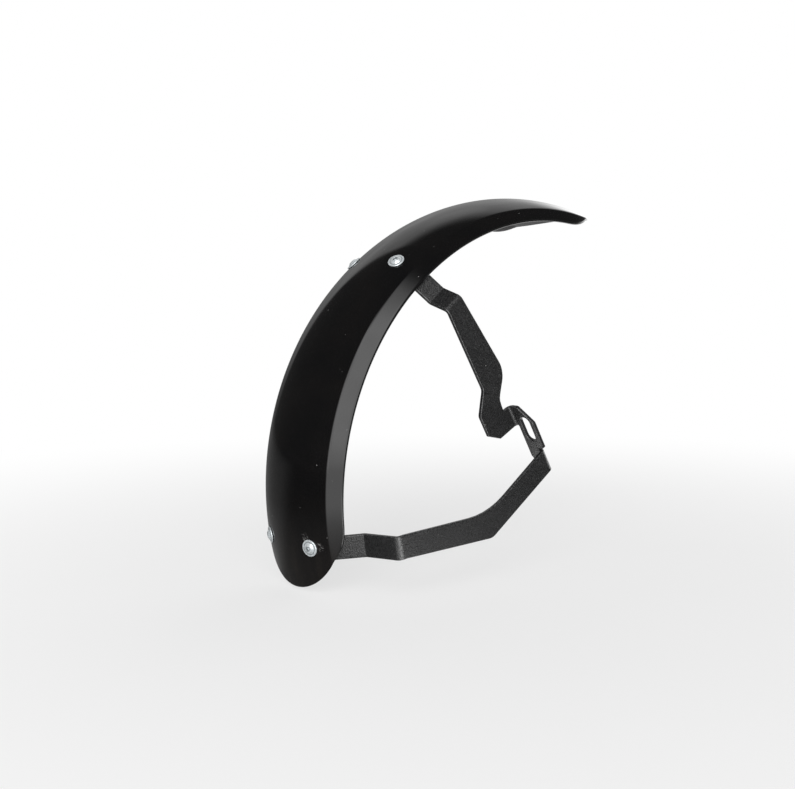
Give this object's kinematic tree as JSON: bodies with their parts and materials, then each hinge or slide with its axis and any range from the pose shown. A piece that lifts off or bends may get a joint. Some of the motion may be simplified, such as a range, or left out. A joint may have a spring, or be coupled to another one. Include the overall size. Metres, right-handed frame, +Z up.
{
  "type": "scooter front fender",
  "caption": "Arched gloss black wheel guard carried on a bent steel side bracket whose slotted plate bolts it beside a small scooter's front wheel.",
  "frame": {"origin": "Middle of the mount slot, on the front face of the bracket's plate, where the vehicle's bolt passes.", "axes": "X forward along the vehicle, Y to its left, Z up, as the part stands when mounted."},
  "size_m": [0.2801, 0.1249, 0.2776],
  "materials": {
    "shell_gloss": "gloss black moulding, lightly dusty, small scuffs",
    "bracket_coat": "fine textured black powder coat on steel",
    "fastener_zinc": "bright zinc plate"
  },
  "bodies": {
    "root": {"fender_shell": "shell_gloss", "stay_bracket": "bracket_coat", "screw_upper_right": "fastener_zinc", "washer_upper_right": "fastener_zinc", "nut_upper_right": "fastener_zinc", "screw_upper_left": "fastener_zinc", "washer_upper_left": "fastener_zinc", "nut_upper_left": "fastener_zinc", "screw_lower_right": "fastener_zinc", "washer_lower_right": "fastener_zinc", "nut_lower_right": "fastener_zinc", "screw_lower_left": "fastener_zinc", "washer_lower_left": "fastener_zinc", "nut_lower_left": "fastener_zinc"}
  },
  "joints": []
}
